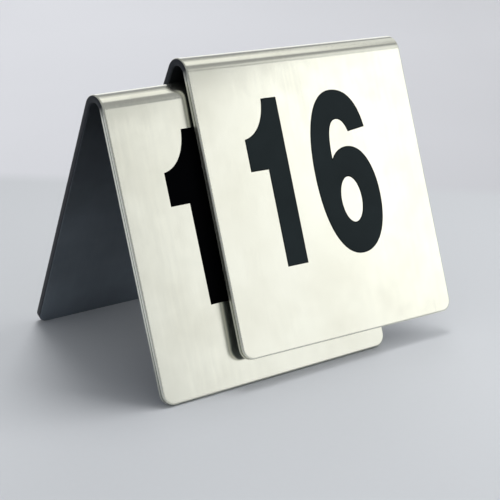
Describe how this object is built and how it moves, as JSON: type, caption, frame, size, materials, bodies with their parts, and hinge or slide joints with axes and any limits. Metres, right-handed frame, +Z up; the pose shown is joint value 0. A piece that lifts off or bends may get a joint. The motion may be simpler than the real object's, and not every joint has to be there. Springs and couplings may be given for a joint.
{
  "type": "table number tent",
  "caption": "Folded stainless steel table number tents stacked one astride the other, with black figures on both faces; the upper tent lifts off the lower one.",
  "frame": {"origin": "bottom centre of the stacked pair's bounding box, on the surface that the lower tent's feet stand on", "axes": "+X along the ridges to the right of someone reading the front faces, -Y out of the front faces, +Z up"},
  "size_m": [0.0672, 0.0478, 0.0546],
  "materials": {
    "brushed_stainless": "fine brushed stainless sheet with a satin sheen and deburred, slightly brighter edges",
    "black_enamel": "black enamel figures, satin"
  },
  "bodies": {
    "lower_tent": {"lower_sheet": "brushed_stainless", "lower_front_one": "black_enamel", "lower_front_five": "black_enamel", "lower_back_one": "black_enamel", "lower_back_five": "black_enamel"},
    "upper_tent": {"upper_sheet": "brushed_stainless", "upper_front_one": "black_enamel", "upper_front_six": "black_enamel", "upper_back_one": "black_enamel", "upper_back_six": "black_enamel"}
  },
  "joints": [
    {"name": "lift_off", "type": "slide", "parent": "lower_tent", "child": "upper_tent", "axis": [0, 0, 1], "range_m": [0, 0.05]}
  ]
}
